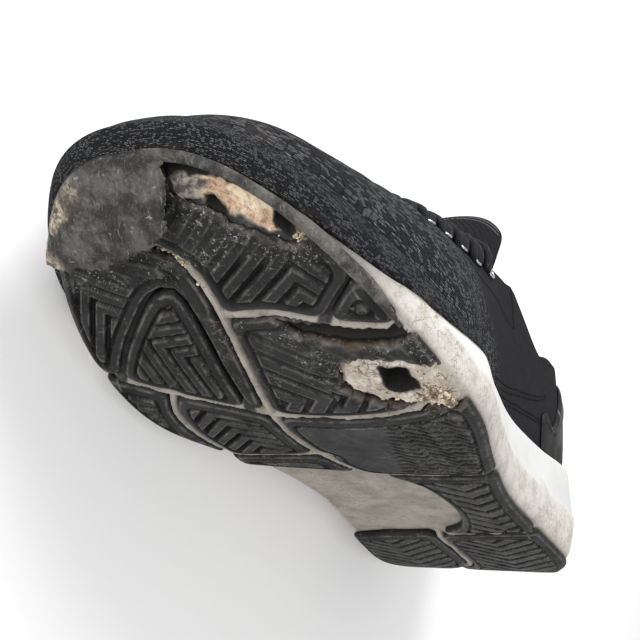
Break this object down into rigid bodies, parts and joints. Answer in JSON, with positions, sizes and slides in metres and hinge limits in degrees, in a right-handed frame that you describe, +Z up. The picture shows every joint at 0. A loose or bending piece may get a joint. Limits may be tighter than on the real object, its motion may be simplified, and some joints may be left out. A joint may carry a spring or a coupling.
{
  "type": "worn out running shoe",
  "caption": "Left running shoe, worn through at toe and ball: knitted upper, padded tongue, laces, foam midsole and grooved rubber pads, lying on its inner side.",
  "frame": {"origin": "bottom centre of the bounding box: the point of the floor under the middle of the lying shoe", "axes": "+X from heel to toe, +Y the way the sole faces, +Z up: the shoe lies on its inner side with its outer side up"},
  "size_m": [0.3024, 0.1364, 0.1143],
  "materials": {
    "midsole_foam": "dirty off-white foam, matt, creased",
    "outsole_rubber": "worn black rubber, dusty and scuffed",
    "upper_knit": "charcoal knit with pale flecks",
    "counter_plastic": "dark moulded overlay, satin",
    "tongue_cloth": "black padded mesh",
    "insole_cloth": "dark grey brushed cloth",
    "lace_cloth": "black woven lace"
  },
  "bodies": {
    "root": {"midsole": "midsole_foam", "sole_toe": "outsole_rubber", "sole_inner_forefoot": "outsole_rubber", "sole_outer_corner": "outsole_rubber", "sole_outer_ball": "outsole_rubber", "sole_outer_rear": "outsole_rubber", "sole_inner_edge": "outsole_rubber", "sole_inner_ball": "outsole_rubber", "sole_inner_rear": "outsole_rubber", "sole_outer_waist": "outsole_rubber", "sole_heel_outer": "outsole_rubber", "sole_heel_inner": "outsole_rubber", "toe_flap": "outsole_rubber", "upper": "upper_knit", "heel_counter": "counter_plastic", "tongue": "tongue_cloth", "insole": "insole_cloth", "lace_front": "lace_cloth", "lace_cross_1": "lace_cloth", "lace_cross_2": "lace_cloth", "lace_cross_3": "lace_cloth", "lace_cross_4": "lace_cloth", "lace_cross_5": "lace_cloth"}
  },
  "joints": []
}
